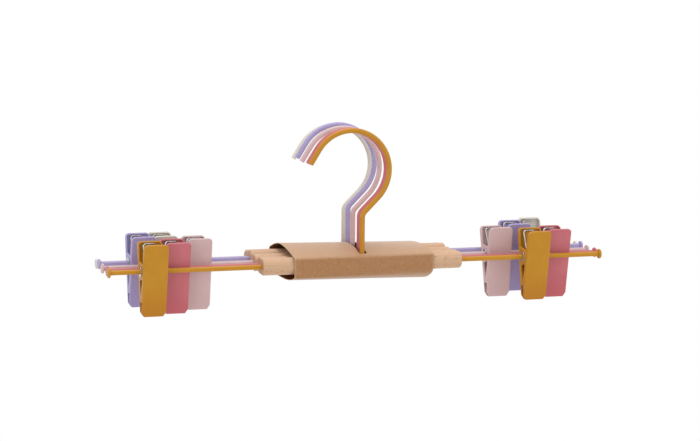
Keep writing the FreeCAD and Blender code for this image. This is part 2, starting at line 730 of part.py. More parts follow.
def put(label, master, across, back, rise, turn=""):
    """Sub-part of the set: a copy of a master piece at its place, raised from the sleeve's middle.

    turn names the size that leans a clip about its rod.
    """
    piece = doc.addObject("App::Link", label)
    piece.LinkedObject = master
    piece.Label = label
    piece.setExpression("Placement.Base.x", across)
    piece.setExpression("Placement.Base.y", back)
    piece.setExpression("Placement.Base.z", f"{AXIS_UP} + {rise}")
    if turn in SIZES:
        piece.Placement = Placement(piece.Placement.Base, Rotation(ALONG_X, SIZES[turn]))
        piece.setExpression("Placement.Rotation.Angle", f"sizes.{turn}")
    return piece


def paired(name, solids):
    compound = doc.addObject("Part::Compound", name)
    compound.Links = solids
    return compound


def clip_place(colour, side):
    """Where a clip sits along the rods: its column, counted from the nail head, and any slip outwards."""
    overhang = "(sizes.rim_gap + sizes.rim_thick)"
    step = "(sizes.clip_width + sizes.column_gap)"
    run = "((sizes.hanger_length - sizes.dowel_length) / 2 - sizes.head_thick)"
    taken = f"({max(COLUMNS.values())} * {step} + sizes.clip_width + 2 * {overhang})"
    margin = f"{FREE_SHARES[side]} * ({run} - {taken})"
    first = f"sizes.head_thick + {margin} + {overhang} + sizes.clip_width / 2"
    inset = f"{first} + {COLUMNS[colour, side]} * {step}"
    slip = f"{colour}_{side}_slip"
    extra = f" + sizes.{slip}" if slip in SIZES else ""
    return f"sizes.hook_set + {SIDES[side]} * (sizes.hanger_length / 2 - ({inset}){extra})"


dowel = make_dowel()
rod_pair = make_rod_pair()
hook = make_hook()
eyelet = make_eyelet()
spring = make_spring()
lug_width = "(sizes.clip_width - 2 * (sizes.sheet_thick + sizes.ear_gap))"
rear_jaw = paired("rear_jaw_set", [
    make_jaw("rear_jaw", 1, "sizes.clip_width", notched=False),
    make_grip_pad("rear_pad", 1),
])
front_jaw = paired("front_jaw_set", [
    make_jaw("front_jaw", -1, lug_width, notched=True),
    make_grip_pad("front_pad", -1),
])
sleeve = make_sleeve()

hanger_pieces = (("dowel", dowel), ("hook", hook), ("rods", rod_pair))
clip_pieces = (("eyelet", eyelet), ("rear_jaw", rear_jaw), ("front_jaw", front_jaw), ("spring", spring))
subparts = [put("card_sleeve", sleeve, "sizes.hook_set + sizes.sleeve_shift", "0", "0")]
for row, colour in enumerate(COLOURS):
    back = f"{row - MIDDLE} * {PITCH}"
    middle = f"sizes.hook_set + sizes.{colour}_shift"
    rise = f"sizes.{colour}_rise"
    for piece, master in hanger_pieces:
        subparts.append(put(f"{colour}_{piece}", master, middle, back, rise))
    for side in SIDES:
        across = clip_place(colour, side)
        for piece, master in clip_pieces:
            turn = f"{colour}_{side}_turn_angle"
            subparts.append(put(f"{colour}_{side}_{piece}", master, across, back, rise, turn))
doc.recompute()

failed = [item.Label for item in doc.Objects if {"Invalid", "Error"} & set(item.State)]
if failed:
    raise RuntimeError(f"failed objects: {failed}")
shapes = {piece.Label: Part.getShape(piece) for piece in subparts}
for label, shape in shapes.items():
    if shape.isNull() or not shape.isValid() or not shape.Solids:
        raise RuntimeError(f"{label} has no valid solid")

os.makedirs("parts", exist_ok=True)
for label, shape in shapes.items():
    shape.exportStep(f"parts/{label}.step")
print(f"{len(shapes)} sub-parts written")
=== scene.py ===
"""Looks of a set of five skirt hangers in a card sleeve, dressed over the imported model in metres."""
import json
import math

import bpy
import numpy as np
from mathutils import Matrix, Vector


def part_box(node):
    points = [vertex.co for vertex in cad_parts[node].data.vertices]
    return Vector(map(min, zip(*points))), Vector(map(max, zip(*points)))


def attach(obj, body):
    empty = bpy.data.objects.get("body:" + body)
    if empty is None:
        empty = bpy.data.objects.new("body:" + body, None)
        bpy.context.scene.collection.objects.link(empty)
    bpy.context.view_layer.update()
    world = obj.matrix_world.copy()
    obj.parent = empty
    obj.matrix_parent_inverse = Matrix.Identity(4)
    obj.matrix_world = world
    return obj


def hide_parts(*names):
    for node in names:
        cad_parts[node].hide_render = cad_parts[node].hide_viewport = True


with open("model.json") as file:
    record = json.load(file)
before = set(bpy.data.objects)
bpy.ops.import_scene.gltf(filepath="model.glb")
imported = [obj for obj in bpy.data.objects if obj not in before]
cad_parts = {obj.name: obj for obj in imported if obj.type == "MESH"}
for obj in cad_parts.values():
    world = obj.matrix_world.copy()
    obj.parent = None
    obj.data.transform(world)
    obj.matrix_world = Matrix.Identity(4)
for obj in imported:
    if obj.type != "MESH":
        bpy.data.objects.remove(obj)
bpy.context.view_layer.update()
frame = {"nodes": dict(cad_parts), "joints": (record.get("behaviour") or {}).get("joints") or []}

MM = 0.001
COLOURS = ("ochre", "rose", "blush", "lilac", "chalk")
SIDES = ("left", "right")
CLIPS = [f"{colour}_{side}" for colour in COLOURS for side in SIDES]
PIVOTS = {joint["name"]: np.array(joint["pos_m"]) for joint in frame["joints"] if "pos_m" in joint}

IMAGE_WIDTH = 700
FOCAL_PIXELS = 2438.88
CAMERA_PLACE = (-0.58698, -1.79955, 0.18015)
CAMERA_YAW = math.radians(18.2467)
CAMERA_PITCH = math.radians(7.5741)
CAMERA_ROLL = math.radians(0.5484)

CARD = 0.5 * MM
SLEEVE_RISE = 11.05 * MM
SLEEVE_FOLD = 5.7 * MM
SLEEVE_HEEL = (-9.0 * MM, -7.1 * MM)
SLEEVE_CROWN = (12.6 * MM, 10.0 * MM)
SLEEVE_RIDGE = (5.0 * MM, -5.0 * MM)
SLEEVE_BELLY = (-13.1 * MM, -16.5 * MM)
CROWN_POWER = (1.7, 2.2)
BELLY_POWER = (3.0, 2.2)
FOLD_CRISP = 0.55 * MM
FOLD_SLACK = (1.5 * MM, 4.1 * MM)
SECTION_POINTS = 352
SIDE_COLUMNS = 32
SLOT_COLUMNS = 4
SLOT_SPARE = 2.1 * MM
SLOT_ROUND = 2.0 * MM
SLOT_REACH = 29.7 * MM
SLOT_FADE = 3.0 * MM
RIPPLE = 0.12 * MM
RUB_FOLD = 0.7 * MM
RUB_END = 0.5 * MM
# Heights over which the crown is paled all over: a painted sheen on the card's top.
CROWN_SHEEN = (5.4 * MM, 6.6 * MM)

WIRE = 0.75 * MM
COIL_RADIUS = 3.95 * MM
COIL_PITCH = 2.1 * MM
COIL_TURNS = 4
COIL_THIN = 0.97
COIL_SHARED = math.radians(60)
LEG_REST = np.array((10.816, 19.4)) * MM
LEG_REACH = np.linalg.norm(LEG_REST)
LEG_LEAVE = math.atan2(LEG_REST[1], LEG_REST[0]) - math.acos(COIL_RADIUS / LEG_REACH)
LEG_END = 9.0 * MM
LEG_BEND = 2.2 * MM
LEG_TIP = 0.72

CLIP_TURNS = {"blush_left": -2.0, "blush_right": -4.0, "chalk_right": 15.0}
JAW_HALF = 9.0 * MM
JAW_SHEET = 0.9 * MM
JAW_TILT = math.radians(10.5)
PAD_WIDTH = 15.0 * MM
PAD_FOOT = -32.036 * MM
PAD_TOP = -23.692 * MM
PAD_GLUE = 0.05 * MM
PAD_SKIN = 0.03 * MM
PAD_EDGE = 0.1 * MM
MEET = 0.15 * MM
RIB_DEPTH = 0.6 * MM
RIBS = 5
RIB_SHARES = (0.2, 0.35, 0.65, 0.8)

# Painted shade: heights over which the paint darkens towards the clips' tips.
TIP_SHADE_START = -107.0 * MM
TIP_SHADE_FULL = -138.0 * MM
TIP_SHADE_POWER = 1.2

FLOOR_LEVEL = -0.6
FLOOR_RADIUS = 1.2
FLOOR_RINGS = 24
FLOOR_SPOKES = 96
SKY_LEVEL = 0.76
LAMP_TARGET = Vector((0.0, 0.0, -0.1))


def srgb(*levels):
    """Screen levels from 0 to 255 as a linear colour: ((c + 0.055) / 1.055) ^ 2.4 above the toe."""
    share = np.array(levels) / 255
    linear = np.where(share > 0.04045, ((share + 0.055) / 1.055) ** 2.4, share / 12.92)
    return (*linear.tolist(), 1.0)


class Socket:
    """A node's output; arithmetic on it adds Math nodes to its tree."""

    def __init__(self, web, link):
        self.web = web
        self.link = link

    def joined(self, operation, first, second):
        """A Math node of two values."""
        return self.web.node("ShaderNodeMath", {"operation": operation}, {0: first, 1: second})

    def __add__(self, other):
        return self.joined("ADD", self, other)

    def __radd__(self, other):
        return self.joined("ADD", other, self)

    def __sub__(self, other):
        return self.joined("SUBTRACT", self, other)

    def __rsub__(self, other):
        return self.joined("SUBTRACT", other, self)

    def __mul__(self, other):
        return self.joined("MULTIPLY", self, other)

    def __rmul__(self, other):
        return self.joined("MULTIPLY", other, self)

    def __truediv__(self, other):
        return self.joined("DIVIDE", self, other)

    def __rtruediv__(self, other):
        return self.joined("DIVIDE", other, self)

    def __pow__(self, other):
        return self.joined("POWER", self, other)

    def __rpow__(self, other):
        return self.joined("POWER", other, self)

    def __gt__(self, other):
        return self.joined("GREATER_THAN", self, other)

    def __lt__(self, other):
        return self.joined("LESS_THAN", self, other)


class Web:
    """A node tree, grown by one method."""

    def __init__(self, tree):
        self.tree = tree

    def pick(self, sockets, key):
        """A socket by its number, its identifier or its name."""
        if isinstance(key, int):
            return sockets[key]
        for socket in sockets:
            if socket.identifier == key:
                return socket
        return sockets[key]

    def node(self, kind, settings=None, inputs=None, output=0):
        """Add a node, its settings first, then its sockets' values or links; one output, if it has any."""
        made = self.tree.nodes.new(kind)
        for key, value in (settings or {}).items():
            setattr(made, key, value)
        for key, value in (inputs or {}).items():
            socket = self.pick(made.inputs, key)
            if isinstance(value, Socket):
                self.tree.links.new(value.link, socket)
            else:
                socket.default_value = value
        return Socket(self, self.pick(made.outputs, output)) if made.outputs else None


class Finish(Web):
    """A material with one principled surface, read in Object coordinates."""

    def __init__(self, name, uniform):
        self.material = bpy.data.materials.new(name)
        self.material.use_nodes = True
        super().__init__(self.material.node_tree)
        self.surface = self.tree.nodes["Principled BSDF"]
        for key, value in uniform.items():
            self.surface.inputs[key].default_value = value
        self.place = self.node("ShaderNodeTexCoord", output="Object")

    def feed(self, key, value):
        """Link a value to one of the surface's sockets."""
        self.tree.links.new(value.link, self.surface.inputs[key])

    def scaled(self, place, size, shift=(0, 0, 0), turn=(0, 0, 0)):
        """Coordinates in which one unit is as long as size says along each axis."""
        return self.node("ShaderNodeMapping", {"vector_type": "TEXTURE"},
                         {"Vector": place, "Location": shift, "Rotation": turn, "Scale": size})

    def noise(self, place, size, detail=2.0, rough=0.5, bend=0.0):
        """Cloudy values about 0.5 whose clouds are as wide as size."""
        return self.node("ShaderNodeTexNoise", {},
                         {"Vector": place, "Scale": 1 / size, "Detail": detail,
                          "Roughness": rough, "Distortion": bend}, "Fac")

    def cells(self, place, size, output="Distance"):
        """Distance to the nearest of many scattered points, or that point's own colour."""
        return self.node("ShaderNodeTexVoronoi", {}, {"Vector": place, "Scale": 1 / size}, output)

    def step(self, value, low, high):
        """Smooth rise from 0 at low to 1 at high."""
        return self.node("ShaderNodeMapRange", {"interpolation_type": "SMOOTHSTEP"},
                         {"Value": value, "From Min": low, "From Max": high})

    def axes(self, vector):
        """The three parts of a vector."""
        split = self.node("ShaderNodeSeparateXYZ", {}, {0: vector})
        return [Socket(self, part) for part in split.link.node.outputs]

    def mix(self, share, first, second):
        """A colour between two others."""
        return self.node("ShaderNodeMix", {"data_type": "RGBA"},
                         {"Factor_Float": share, "A_Color": first, "B_Color": second}, "Result_Color")

    def bump(self, height, depth):
        """Normals of a relief whose height runs from 0 to 1 times depth."""
        return self.node("ShaderNodeBump", {}, {"Height": height, "Distance": depth, "Strength": 1.0})


def paint_finish(name, tint, deep, gloss):
    """Stove enamel: one tint, deeper in soft clouds, over a faint orange-peel skin with a few pits.

    Painted shade darkens the paint towards the clips' tips, where each level of the tint is raised to a power
    above one.
    """
    finish = Finish(name, {"Specular IOR Level": 0.32})
    clouds = finish.noise(finish.place, 14 * MM, 3.0, 0.6)
    peel = finish.noise(finish.place, 1.3 * MM, 1.0)
    pits = finish.step(finish.cells(finish.place, 4.3 * MM), 0.06, 0.02)
    # Painted shade: darker paint towards the clips' tips.
    tip_shade = finish.step(finish.axes(finish.place)[2], TIP_SHADE_START, TIP_SHADE_FULL)
    coat = finish.mix(finish.step(clouds, 0.3, 0.7), tint, deep)
    shaded_tint = (np.array(tint) ** TIP_SHADE_POWER).tolist()
    finish.feed("Base Color", finish.mix(tip_shade, coat, shaded_tint))
    finish.feed("Roughness", gloss + 0.08 * (peel - 0.5) + 0.08 * (clouds - 0.5) + 0.1 * pits)
    finish.feed("Normal", finish.bump(peel - 0.5 * pits, 0.006 * MM))
    return finish.material


def beech_finish(name, heart, turn):
    """Steamed beech along X: growth rings about the heart, brown ray flecks, fine pores, darker end grain."""
    finish = Finish(name, {"Specular IOR Level": 0.4})
    tree = finish.scaled(finish.place, (1.0, 1.0, 1.0), heart, (turn, 0.0, 0.0))
    sway = finish.noise(finish.scaled(tree, (70 * MM, 9 * MM, 9 * MM)), 1.0, 2.0)
    across, upward = finish.axes(tree)[1:]
    ring = (across ** 2 + upward ** 2) ** 0.5 / (2.6 * MM) + 1.4 * sway
    ring = finish.node("ShaderNodeMath", {"operation": "FRACT"}, {0: ring})
    late = finish.step(ring, 0.3, 0.9) * (1 - finish.step(ring, 0.9, 1.0))
    fibre = finish.noise(finish.scaled(tree, (26 * MM, 0.7 * MM, 0.7 * MM)), 1.0, 3.0, 0.6)
    tone = finish.noise(finish.scaled(tree, (45 * MM, 5 * MM, 5 * MM)), 1.0, 2.0)
    long_cells = finish.scaled(tree, (4.4 * MM, 2.2 * MM, 2.2 * MM))
    present = finish.axes(finish.cells(long_cells, 1.0, "Color"))[0] > 0.66
    fleck = finish.step(finish.cells(long_cells, 1.0), 0.4, 0.1) * present
    pore_cells = finish.scaled(tree, (2.4 * MM, 0.24 * MM, 0.24 * MM))
    pore = finish.step(finish.cells(pore_cells, 1.0), 0.34, 0.12)
    facing = finish.node("ShaderNodeNewGeometry", output="Normal")
    end = finish.step(finish.axes(facing)[0] ** 2, 0.55, 0.9)
    wood = finish.mix(0.3 * late + 0.5 * fibre, srgb(209, 173, 141), srgb(189, 147, 112))
    wood = finish.mix(0.5 * finish.step(tone, 0.35, 0.75), wood, srgb(200, 159, 128))
    wood = finish.mix(fleck * 0.55 * (1 - end), wood, srgb(172, 110, 70))
    wood = finish.mix(pore * 0.14, wood, srgb(153, 107, 75))
    wood = finish.mix(end * 0.5, wood, srgb(170, 127, 93))
    finish.feed("Base Color", wood)
    finish.feed("Roughness", 0.52 + 0.14 * (fibre - 0.5) + 0.1 * pore - 0.08 * fleck)
    finish.feed("Normal", finish.bump(0.6 * fibre - 0.5 * pore - 0.2 * late, 0.03 * MM))
    return finish.material


def card_finish(name, shade, rough, uniform):
    """Kraft card: matted fibres in three directions over soft clouds, dark flecks of bark, rubbed places and
    a painted sheen.

    All its colours are brought a share of the way to a deep brown, a painted shade: none outside and about
    half inside, where the sleeve's hollow lies in shade.
    """
    finish = Finish(name, uniform)
    # Deep brown of the painted shade inside the sleeve.
    deep = np.array(srgb(85, 46, 22))
    tints = np.array((srgb(151, 102, 57), srgb(178, 131, 85), srgb(158, 107, 62), srgb(105, 65, 37),
                      srgb(209, 172, 136)))
    dark, pale, cloudy, flake, pale_wear_and_sheen = (tints + shade * (deep - tints)).tolist()
    sheet = finish.node("ShaderNodeUVMap", {"uv_map": "sheet"})
    hairs = []
    for number, turn in enumerate((0.2, 1.2, 2.3)):
        shift = (number * 7 * MM, number * 3 * MM, 0)
        lay = finish.scaled(sheet, (3.2 * MM, 0.34 * MM, 1.0), shift, (0, 0, turn))
        hairs.append(finish.noise(lay, 1.0, 2.0, 0.55, 0.6))
    fibre = (hairs[0] + hairs[1] + hairs[2]) / 3
    clouds = finish.noise(sheet, 3.4 * MM, 4.0, 0.7)
    tooth = finish.noise(sheet, 0.35 * MM, 2.0)
    bark_cells = finish.scaled(sheet, (1.9 * MM, 1.3 * MM, 1.0))
    seen = finish.axes(finish.cells(bark_cells, 1.0, "Color"))[1] > 0.6
    bark = finish.step(finish.cells(bark_cells, 1.0), 0.16, 0.05) * seen
    # Pale marks: wear at the top folds and ends, a painted sheen over the crown.
    wear_and_sheen = finish.node("ShaderNodeAttribute", {"attribute_name": "wear_and_sheen"}, output="Fac")
    card = finish.mix(finish.step(fibre, 0.41, 0.59), dark, pale)
    card = finish.mix(finish.step(clouds, 0.38, 0.66) * 0.6, card, cloudy)
    card = finish.mix(bark * 0.45, card, flake)
    card = finish.mix(wear_and_sheen * (0.2 + 0.4 * tooth), card, pale_wear_and_sheen)
    finish.feed("Base Color", card)
    finish.feed("Roughness", rough + 0.16 * (tooth - 0.5) + 0.1 * (fibre - 0.5))
    finish.feed("Normal", finish.bump(0.7 * fibre + 0.3 * tooth, 0.02 * MM))
    return finish.material


def plate_finish(name):
    """Bright nickel plate: a clean mirror, a little hazed in small clouds, with faint drawing lines."""
    finish = Finish(name, {"Metallic": 1.0})
    haze = finish.noise(finish.place, 2.6 * MM, 3.0, 0.6)
    lines = finish.noise(finish.scaled(finish.place, (0.12 * MM, 0.8 * MM, 0.8 * MM)), 1.0, 2.0)
    metal = finish.mix(finish.step(haze, 0.35, 0.7), srgb(200, 199, 196), srgb(172, 171, 168))
    finish.feed("Base Color", metal)
    finish.feed("Roughness", 0.17 + 0.16 * (haze - 0.4) + 0.08 * (lines - 0.5))
    finish.feed("Normal", finish.bump(lines, 0.006 * MM))
    return finish.material


def pad_finish(name):
    """Soft milky plastic with a fine moulded grain."""
    finish = Finish(name, {})
    grain = finish.noise(finish.place, 0.25 * MM, 2.0)
    clouds = finish.noise(finish.place, 4 * MM, 2.0)
    milk = finish.mix(finish.step(clouds, 0.3, 0.7), srgb(210, 208, 203), srgb(194, 192, 186))
    finish.feed("Base Color", milk)
    finish.feed("Roughness", 0.34 + 0.2 * (grain - 0.5) + 0.1 * (clouds - 0.5))
    finish.feed("Normal", finish.bump(grain, 0.02 * MM))
    return finish.material


PAINTS = {
    "ochre": paint_finish("ochre_paint", srgb(192, 134, 24), srgb(187, 129, 19), 0.40),
    "rose": paint_finish("rose_paint", srgb(199, 111, 119), srgb(193, 104, 112), 0.40),
    "blush": paint_finish("blush_paint", srgb(211, 182, 182), srgb(206, 176, 176), 0.42),
    "lilac": paint_finish("lilac_paint", srgb(172, 161, 203), srgb(166, 154, 197), 0.40),
    "chalk": paint_finish("chalk_paint", srgb(217, 211, 200), srgb(212, 205, 193), 0.42),
}
STEEL = plate_finish("plated_steel")
PLASTIC = pad_finish("milky_plastic")
KRAFT = card_finish("kraft_card", 0.0, 0.46, {"Sheen Weight": 0.3, "Sheen Roughness": 0.3})
# Painted shade: the inner face is the same card, darkened for the shade in the sleeve's hollow.
KRAFT_SHADED_INSIDE = card_finish("kraft_card_shaded_inside", 0.55, 0.8, {"Specular IOR Level": 0.1})


def dress(node, finish):
    """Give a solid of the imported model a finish."""
    slots = frame["nodes"][node].data.materials
    slots.clear()
    slots.append(finish)


def quads(rows, columns, closed):
    """Corner numbers of the faces between neighbours on a grid, closed round its columns or left open."""
    row = np.arange(rows - 1)[:, None] * columns
    first = np.arange(columns if closed else columns - 1)[None, :]
    second = (first + 1) % columns
    return np.stack((row + first, row + second, row + columns + second, row + columns + first), axis=-1)


def piece(name, points, faces, finish, body, crease=math.radians(35)):
    """Make a mesh of points and faces, smooth except past the crease angle, and let it ride on a body."""
    mesh = bpy.data.meshes.new(name)
    mesh.from_pydata(points.reshape(-1, 3).tolist(), [], faces)
    mesh.materials.append(finish)
    mesh.shade_smooth()
    mesh.set_sharp_from_angle(angle=crease)
    made = bpy.data.objects.new(name, mesh)
    bpy.context.scene.collection.objects.link(made)
    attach(made, body)
    return made


def settled(outline, spread, step):
    """A closed outline with its corners rounded.

    Each point is the mean of its neighbours, weighted by a bell curve as wide as spread. For waves along the
    outline that is a factor exp(-(wave number x spread)^2 / 2).
    """
    waves = 2 * math.pi * np.fft.fftfreq(len(outline), step)
    return np.fft.ifft(np.fft.fft(outline) * np.exp(-(waves * spread) ** 2 / 2)).real


def sleeve_outline(share, deep):
    """Section of the folded card at a share of its length from the left, as Y and Z from the dowels' axis.

    Front wall up, crown back, rear wall down, belly forward. The crown falls from a ridge to the two top
    folds, z = crown - rise c^power with c from 0 at the ridge to 1 at a fold, and is high at the left and
    lower at the right. The belly sags as |y / deep|^power. The top folds stay crisp, and the lower ones are
    round, more so towards the right.
    """
    ends = (0, 1)
    heel = np.interp(share ** 1.5, ends, SLEEVE_HEEL)
    crown = np.interp(share, ends, SLEEVE_CROWN)
    ridge = np.interp(share, ends, SLEEVE_RIDGE)
    belly = np.interp(share, ends, SLEEVE_BELLY)
    wall = SLEEVE_FOLD - heel
    step = 2 * (wall + 2 * deep) / SECTION_POINTS
    way = np.arange(SECTION_POINTS) * step
    front_top = wall
    rear_top = wall + 2 * deep
    rear_foot = 2 * wall + 2 * deep
    stretches = [way < front_top, way < rear_top, way < rear_foot]
    y = np.select(stretches, [-deep, way - front_top - deep, deep], deep - (way - rear_foot))
    climb = np.abs(y - ridge) / (deep - ridge * np.sign(y - ridge))
    arch = crown - (crown - SLEEVE_FOLD) * climb ** np.interp(share, ends, CROWN_POWER)
    sag = belly + (heel - belly) * np.abs(y / deep) ** np.interp(share, ends, BELLY_POWER)
    z = np.select(stretches, [heel + way, arch, SLEEVE_FOLD - (way - rear_top)], sag)
    low = np.clip((-z - 1.0 * MM) / (4 * MM), 0, 1)
    low = low * low * (3 - 2 * low)
    slack = np.interp(share, ends, FOLD_SLACK)
    y, z = (settled(part, FOLD_CRISP, step) * (1 - low) + settled(part, slack, step) * low for part in (y, z))
    return y, z, way


def mark_card(mesh, flat, wear_and_sheen):
    """Lay the flat sheet's measures on the card, mark its pale wear and its painted sheen, and keep its cut
    edges crisp.
    """
    corner = np.empty(len(mesh.loops), dtype=np.int32)
    mesh.loops.foreach_get("vertex_index", corner)
    mesh.uv_layers.new(name="sheet").data.foreach_set("uv", flat.reshape(-1, 2)[corner].ravel())
    mesh.attributes.new("wear_and_sheen", "FLOAT", "POINT").data.foreach_set("value", wear_and_sheen.ravel())
    edges = np.empty(len(mesh.loops), dtype=np.int32)
    mesh.loops.foreach_get("edge_index", edges)
    mesh.edges.foreach_set("use_edge_sharp", np.bincount(edges) == 1)


def make_sleeve():
    """Card sleeve: the folded section carried along X, with a round-ended slot left open in its crown.

    Columns run along X in three stretches, left of the slot, across it and right of it. Across the slot they
    stand at its middle line, which is fitted to the stems, plus or minus w(y): half its width, less
    r - sqrt(r^2 - d^2) where the ends round off. A faint ripple, sin(x) cos(y), is laid on the height. The
    card is rubbed pale by bell curves about its top folds and ends, and its whole crown is paled as a painted
    sheen.
    """
    low, high = (np.array(corner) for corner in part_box("card_sleeve"))
    deep = (high[1] - low[1]) / 2 - CARD / 2
    stems = np.array([PIVOTS[f"{colour}_hook_swivel"] for colour in COLOURS])
    slant, middle = np.polyfit(stems[:, 1], stems[:, 0], 1)
    slot_half = np.max(np.abs(stems[:, 0] - slant * stems[:, 1] - middle)) + SLOT_SPARE
    shares = np.concatenate((np.linspace(0, 1, SIDE_COLUMNS, endpoint=False),
                             np.linspace(1, 2, SLOT_COLUMNS, endpoint=False),
                             np.linspace(2, 3, SIDE_COLUMNS + 1)))
    stations = np.interp(shares, (0, 1, 2, 3), (low[0], middle - slot_half, middle + slot_half, high[0]))
    sections = [sleeve_outline(share, deep) for share in (stations - low[0]) / (high[0] - low[0])]
    y = np.array([section[0] for section in sections])
    z = np.array([section[1] for section in sections])
    way = sections[0][2]
    past = np.clip(np.abs(y) - (SLOT_REACH - SLOT_ROUND), 0, SLOT_ROUND)
    pinch = SLOT_ROUND - np.sqrt(SLOT_ROUND ** 2 - past ** 2)
    beyond = np.clip((np.abs(y) - SLOT_REACH) / SLOT_FADE, 0, 1)
    half = slot_half - np.where(z > 0, pinch * (1 - beyond), 0)
    column = shares[:, None]
    line = middle + slant * y
    x = np.where(column <= 1, low[0] + column * (line - half - low[0]),
                 np.where(column >= 2, line + half + (column - 2) * (high[0] - line - half),
                          line + (2 * column - 3) * half))
    z = z + RIPPLE * np.sin(x / (17 * MM) + 1.0) * np.cos(y / (13 * MM))
    points = np.stack((x, y, z + high[2] - SLEEVE_RISE), axis=-1)
    faces = quads(len(shares), SECTION_POINTS, True)
    crown_rows = (np.abs(y[len(shares) // 2]) < SLOT_REACH) & (z[len(shares) // 2] > 0)
    open_row = crown_rows & np.roll(crown_rows, -1)
    open_column = (shares[:-1] >= 1) & (shares[1:] <= 2)
    kept = faces[~(open_column[:, None] & open_row[None, :])]
    made = piece("card_sleeve_folded", points, kept[:, ::-1].tolist(), KRAFT, "hangers")
    made.data.materials.append(KRAFT_SHADED_INSIDE)
    folds = np.array((deep, -deep))[:, None, None]
    off_fold = np.min(np.hypot(y - folds, z - SLEEVE_FOLD), axis=0)
    off_end = np.minimum(x - low[0], high[0] - x)
    wear_and_sheen = np.exp(-(off_fold / RUB_FOLD) ** 2) * 0.5 + np.exp(-(off_end / RUB_END) ** 2)
    # The crown's paleness is a painted sheen; the pale at the folds and ends is wear.
    wear_and_sheen = np.maximum(wear_and_sheen, np.interp(z, CROWN_SHEEN, (0, 0.95)))
    mark_card(made.data, np.stack((x, np.broadcast_to(way, x.shape)), axis=-1), wear_and_sheen)
    thick = made.modifiers.new("card", "SOLIDIFY")
    thick.thickness = CARD
    thick.offset = 0.0
    # The inner shell takes the card darkened as painted shade.
    thick.material_offset = 1
    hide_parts("card_sleeve")


def tube(path, way, side, radius, sides=14):
    """Round wire: circles of a radius about each point of a path, on its side and on way x side, with caps.

    Point (i, j) = path_i + radius_i (cos a_j side_i + sin a_j way_i x side_i).
    """
    angle = np.linspace(0, 2 * math.pi, sides, endpoint=False)
    other = np.cross(way, side)
    ring = side[:, None] * np.cos(angle)[None, :, None] + other[:, None] * np.sin(angle)[None, :, None]
    points = path[:, None] + radius[:, None, None] * ring
    faces = quads(len(path), sides, True).reshape(-1, 4).tolist()
    last = (len(path) - 1) * sides
    caps = [list(range(sides))[::-1], list(range(last, last + sides))]
    return points.reshape(-1, 3), faces + caps


def leaned(points, clip):
    """Points about a clip's pivot brought to their place, leaned about the rod as far as the clip is."""
    turn = math.radians(CLIP_TURNS.get(clip, 0.0))
    x, y, z = np.moveaxis(points, -1, 0)
    level = y * math.cos(turn) - z * math.sin(turn)
    return np.stack((x, level, y * math.sin(turn) + z * math.cos(turn)), -1) + PIVOTS[f"{clip}_open"]


def spring_half(span, thin):
    """One half of a torsion spring about its clip's pivot: part of the coil, then the leg and its level end.

    Coil (-k a, R cos t, R sin t), where a = t - middle and k is the pitch over a full turn, from span before
    the leg leaves it. The leg goes on along the coil's way to the handle, and an arc turns it along X.
    """
    climb = COIL_PITCH / (2 * math.pi)
    half_way = (COIL_TURNS + 0.5) * math.pi
    leave = LEG_LEAVE + COIL_TURNS * 2 * math.pi
    turn = np.linspace(leave - span, leave, int(span / (2 * math.pi) * 40) + 2)
    zero = np.zeros_like(turn)
    coil = np.stack((-climb * (turn - half_way), COIL_RADIUS * np.cos(turn), COIL_RADIUS * np.sin(turn)), -1)
    coil_way = np.stack((zero - climb, -COIL_RADIUS * np.sin(turn), COIL_RADIUS * np.cos(turn)), -1)
    coil_way /= np.linalg.norm(coil_way, axis=1, keepdims=True)
    coil_side = np.stack((zero, np.cos(turn), np.sin(turn)), -1)
    way = coil_way[-1]
    level = np.array((1.0, 0.0, 0.0))
    leg = math.sqrt(LEG_REACH ** 2 - COIL_RADIUS ** 2) * math.hypot(1, climb / COIL_RADIUS)
    swing = math.acos(way @ level)
    cut = LEG_BEND * math.tan(swing / 2)
    inward = level - (way @ level) * way
    inward /= np.linalg.norm(inward)
    run = np.linspace(0, leg - cut, 8)[1:, None]
    straight = coil[-1] + run * way
    bend_turn = np.linspace(0, swing, 12)[1:, None]
    bend = straight[-1] + LEG_BEND * (np.sin(bend_turn) * way + (1 - np.cos(bend_turn)) * inward)
    bend_way = np.cos(bend_turn) * way + np.sin(bend_turn) * inward
    tip_run = np.array((0.3, 0.6, 0.97, 1.0))[:, None] * (LEG_END - cut)
    tip = bend[-1] + tip_run * level
    path = np.concatenate((coil, straight, bend, tip))
    ways = np.concatenate((coil_way, np.tile(way, (len(run), 1)), bend_way, np.tile(level, (len(tip), 1))))
    side = np.concatenate((coil_side, np.tile(coil_side[-1], (len(path) - len(coil), 1))))
    radius = np.full(len(path), WIRE)
    radius[:len(coil)] *= np.linspace(thin, 1, len(coil))
    radius[-1] *= LEG_TIP
    return tube(path, ways, side, radius)


def make_springs():
    """Each torsion spring in two halves that meet in its coil, so that each leg moves with its own jaw.

    The front half is the rear one's form turned half a turn about the upright through the pivot.
    """
    whole = COIL_TURNS * 2 * math.pi - (math.pi - 2 * LEG_LEAVE)
    rear, rear_faces = spring_half(whole - COIL_SHARED, 1.0)
    front, front_faces = spring_half(math.pi, COIL_THIN)
    for clip in CLIPS:
        made = piece(f"{clip}_spring_rear", leaned(rear, clip), rear_faces, STEEL, f"{clip}_rear_jaw")
        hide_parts(f"{clip}_spring")
        made = piece(f"{clip}_spring_front", leaned(front * (-1, -1, 1), clip), front_faces, STEEL,
                     f"{clip}_front_jaw")


